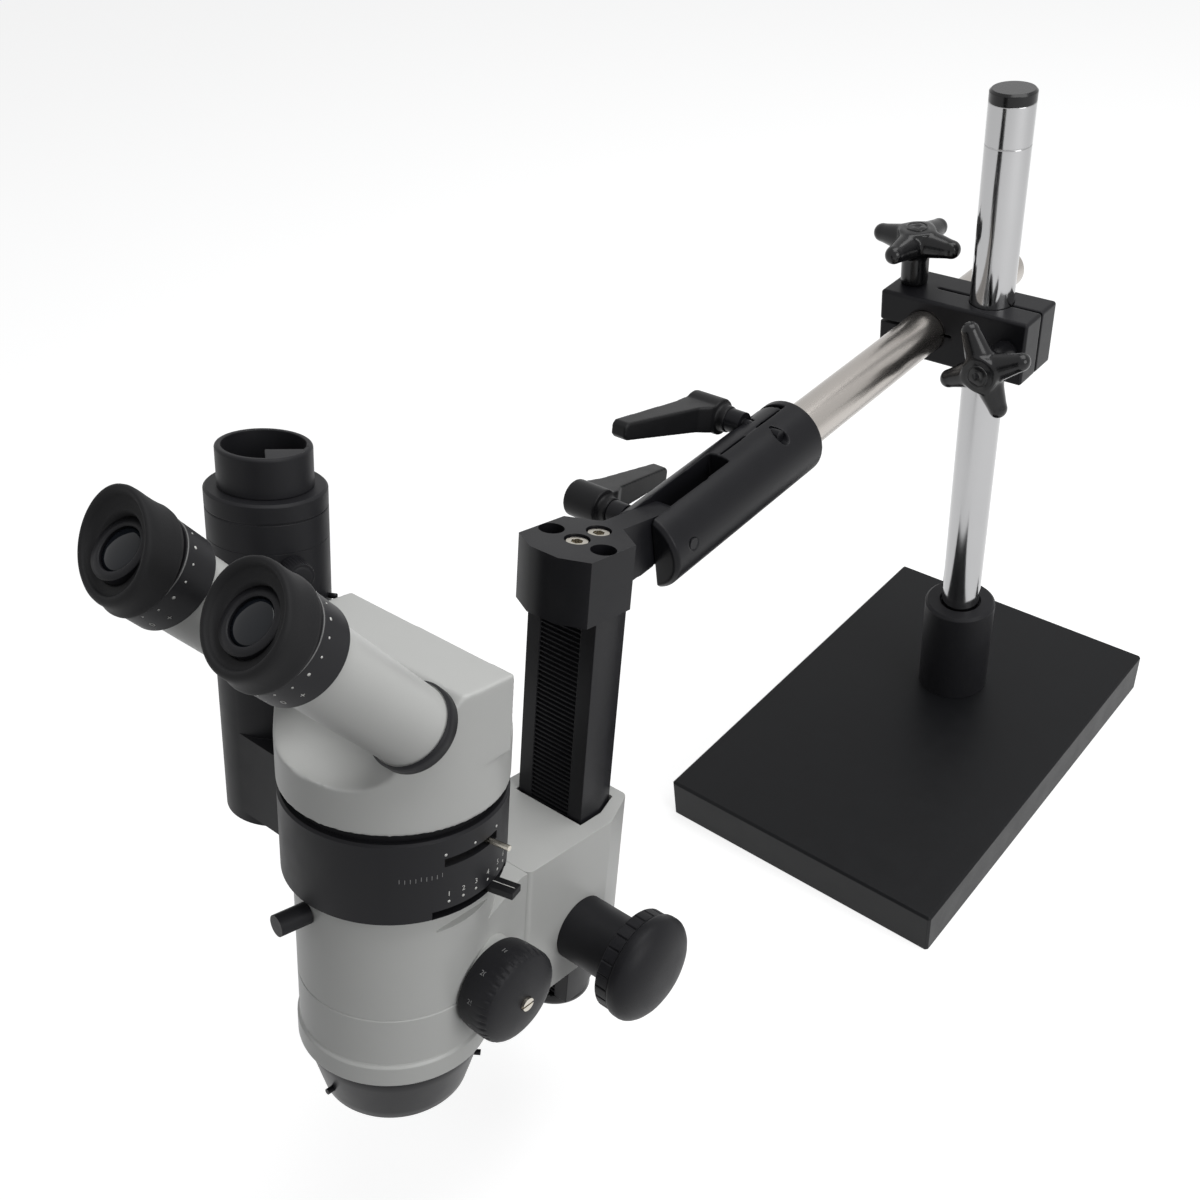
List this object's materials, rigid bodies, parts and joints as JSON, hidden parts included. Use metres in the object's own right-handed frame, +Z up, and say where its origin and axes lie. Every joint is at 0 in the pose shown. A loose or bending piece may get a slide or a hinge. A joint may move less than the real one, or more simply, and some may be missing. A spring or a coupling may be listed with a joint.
{
  "type": "stereo zoom microscope on boom stand",
  "caption": "Trinocular stereo zoom microscope on a boom stand, with an off-white body, a black camera port, and a steel arm clamped to a chrome column on a black base.",
  "frame": {"origin": "centre of the base plate's underside", "axes": "+Z up along the column, +Y from the operator towards the column along the base plate's length, +X to the operator's right"},
  "size_m": [0.2254, 0.628, 0.4386],
  "materials": {
    "base_black": "satin",
    "anodised_black": "satin",
    "chrome": "gloss",
    "brushed_steel": "satin",
    "black_plastic": "matte",
    "gloss_black": "gloss",
    "white_paint": "satin",
    "nickel": "satin",
    "black_steel": "satin",
    "rubber": "matte",
    "glass": "gloss"
  },
  "bodies": {
    "stand": {"base_plate": "base_black", "socket_bolts": "black_steel", "column_socket": "anodised_black"},
    "column": {"column": "chrome", "column_cap": "gloss_black"},
    "clamp": {"cross_clamp": "anodised_black"},
    "arm_knob": {"arm_knob": "gloss_black"},
    "column_knob": {"column_knob": "gloss_black"},
    "arm": {"boom_arm": "brushed_steel", "arm_end_plug": "black_plastic"},
    "sleeve": {"boom_sleeve": "anodised_black", "tilt_pin": "nickel"},
    "sleeve_lever": {"sleeve_lever": "black_plastic", "sleeve_screw": "nickel"},
    "tilt_lever": {"tilt_lever": "black_plastic"},
    "head": {"head_bracket": "anodised_black", "head_screws": "nickel", "rack_bar": "anodised_black", "focus_rack": "black_steel", "bar_end_disc": "black_plastic"},
    "carriage": {"focus_housing": "white_paint", "housing_cover": "white_paint", "bearing_sleeves": "anodised_black", "scope_bracket": "white_paint", "zoom_body": "white_paint", "lower_ring": "white_paint", "objective_ring": "anodised_black", "objective_lens": "glass", "objective_pins": "black_steel", "guide_rods": "nickel", "photo_ring": "anodised_black", "photo_housing": "anodised_black", "phototube_mount": "anodised_black", "phototube_top": "anodised_black", "binocular_head": "white_paint", "erecting_prisms": "glass"},
    "focus_drive": {"focus_shaft": "black_steel", "focus_knob_right": "black_plastic", "focus_knob_left": "black_plastic"},
    "zoom_drive": {"zoom_shaft": "nickel", "zoom_knob_right": "black_plastic", "zoom_knob_left": "black_plastic", "zoom_knob_screws": "nickel"},
    "upper_group": {"upper_lens_carriage": "anodised_black", "upper_zoom_lenses": "glass"},
    "lower_group": {"lower_lens_carriage": "anodised_black", "lower_zoom_lenses": "glass"},
    "photo_lever": {"photo_lever": "nickel"},
    "photo_prism": {"photo_prism": "glass"},
    "iris_lever": {"iris_lever": "black_plastic"},
    "port_thumbscrew": {"port_thumbscrew": "black_plastic"},
    "tube_lock_knob": {"tube_lock_knob": "black_plastic"},
    "ocular_right": {"ocular_tube_right": "white_paint", "eyepiece_right": "anodised_black", "eyecup_right": "rubber"},
    "diopter_right": {"diopter_ring_right": "black_plastic"},
    "ocular_left": {"ocular_tube_left": "white_paint", "eyepiece_left": "anodised_black", "eyecup_left": "rubber"},
    "diopter_left": {"diopter_ring_left": "black_plastic"}
  },
  "joints": [
    {"name": "column_swivel", "type": "hinge", "parent": "stand", "child": "column", "pos_m": [0, 0.0516, 0.06], "axis": [0, 0, 1], "range_deg": [-60, 60]},
    {"name": "clamp_height", "type": "slide", "parent": "column", "child": "clamp", "axis": [0, 0, 1], "range_m": [-0.06, 0.1]},
    {"name": "arm_knob_turn", "type": "hinge", "parent": "clamp", "child": "arm_knob", "pos_m": [-0.05129, 0.05075, 0.33], "axis": [0, 0, 1], "range_deg": [-45, 90]},
    {"name": "column_knob_turn", "type": "hinge", "parent": "clamp", "child": "column_knob", "pos_m": [0.02116, 0.01194, 0.3013], "axis": [0.0165, -0.9999, 0], "range_deg": [-45, 90]},
    {"name": "arm_reach", "type": "slide", "parent": "clamp", "child": "arm", "axis": [-0.0165, 0.9999, 0], "range_m": [-0.05, 0.1]},
    {"name": "sleeve_turn", "type": "hinge", "parent": "arm", "child": "sleeve", "pos_m": [-0.02869, -0.1489, 0.3013], "axis": [-0.0165, 0.9999, 0], "range_deg": [-30, 30]},
    {"name": "sleeve_lever_turn", "type": "hinge", "parent": "sleeve", "child": "sleeve_lever", "pos_m": [-0.0589, -0.1364, 0.3178], "axis": [0.9999, 0.0165, 0], "range_deg": [-70, 4]},
    {"name": "tilt_lever_turn", "type": "hinge", "parent": "sleeve", "child": "tilt_lever", "pos_m": [-0.06749, -0.22205, 0.3053], "axis": [0.9999, 0.0165, 0], "range_deg": [-70, 10]},
    {"name": "head_tilt", "type": "hinge", "parent": "sleeve", "child": "head", "pos_m": [-0.0275, -0.22139, 0.3053], "axis": [0.9999, 0.0165, 0], "range_deg": [-30, 40]},
    {"name": "focus_travel", "type": "slide", "parent": "head", "child": "carriage", "axis": [-0.0043, 0.2588, 0.9659], "range_m": [-0.03, 0.05]},
    {"name": "focus_turn", "type": "hinge", "parent": "carriage", "child": "focus_drive", "pos_m": [-0.02552, -0.34107, 0.14868], "axis": [0.9999, 0.0165, 0], "range_deg": [-450, 270]},
    {"name": "zoom_turn", "type": "hinge", "parent": "carriage", "child": "zoom_drive", "pos_m": [-0.02441, -0.40839, 0.19105], "axis": [0.9999, 0.0165, 0], "range_deg": [-120, 120]},
    {"name": "upper_group_travel", "type": "slide", "parent": "carriage", "child": "upper_group", "axis": [-0.0043, 0.2588, 0.9659], "range_m": [-0.0062, 0.0062]},
    {"name": "lower_group_travel", "type": "slide", "parent": "carriage", "child": "lower_group", "axis": [-0.0043, 0.2588, 0.9659], "range_m": [-0.0085, 0.0085]},
    {"name": "photo_lever_turn", "type": "hinge", "parent": "carriage", "child": "photo_lever", "pos_m": [-0.02449, -0.4033, 0.27458], "axis": [-0.0043, 0.2588, 0.9659], "range_deg": [-26.5, 4.5]},
    {"name": "photo_prism_travel", "type": "slide", "parent": "carriage", "child": "photo_prism", "axis": [-0.0159, 0.9658, -0.2588], "range_m": [-0.0172, 0.003]},
    {"name": "iris_lever_turn", "type": "hinge", "parent": "carriage", "child": "iris_lever", "pos_m": [-0.02439, -0.40979, 0.25033], "axis": [-0.0043, 0.2588, 0.9659], "range_deg": [-34, 13]},
    {"name": "port_thumbscrew_turn", "type": "hinge", "parent": "carriage", "child": "port_thumbscrew", "pos_m": [-0.07286, -0.38881, 0.36366], "axis": [0.9655, -0.2503, 0.0713], "range_deg": [-180, 180]},
    {"name": "tube_lock_turn", "type": "hinge", "parent": "carriage", "child": "tube_lock_knob", "pos_m": [-0.0305, -0.46106, 0.25069], "axis": [-0.1234, -0.9587, 0.2563], "range_deg": [-180, 180]},
    {"name": "eye_distance_right", "type": "slide", "parent": "carriage", "child": "ocular_right", "axis": [0.9999, 0.0165, 0], "range_m": [-0.0077, 0.0023]},
    {"name": "eye_distance_left", "type": "slide", "parent": "carriage", "child": "ocular_left", "axis": [0.9999, 0.0165, 0], "range_m": [-0.0023, 0.0077]},
    {"name": "diopter_right_turn", "type": "hinge", "parent": "ocular_right", "child": "diopter_right", "pos_m": [0.01143, -0.44667, 0.4063], "axis": [0.0083, -0.4999, 0.866], "range_deg": [-60, 60]},
    {"name": "diopter_left_turn", "type": "hinge", "parent": "ocular_left", "child": "diopter_left", "pos_m": [-0.05896, -0.44783, 0.4063], "axis": [0.0083, -0.4999, 0.866], "range_deg": [-60, 60]}
  ],
  "couplings": [
    {"joint": "focus_turn", "follows": "focus_travel", "rad_per_m": -156.25},
    {"joint": "upper_group_travel", "follows": "zoom_turn", "m_per_rad": 0.0029},
    {"joint": "lower_group_travel", "follows": "zoom_turn", "m_per_rad": -0.004},
    {"joint": "photo_prism_travel", "follows": "photo_lever_turn", "m_per_rad": 0.0368},
    {"joint": "eye_distance_left", "follows": "eye_distance_right", "ratio": -1}
  ]
}
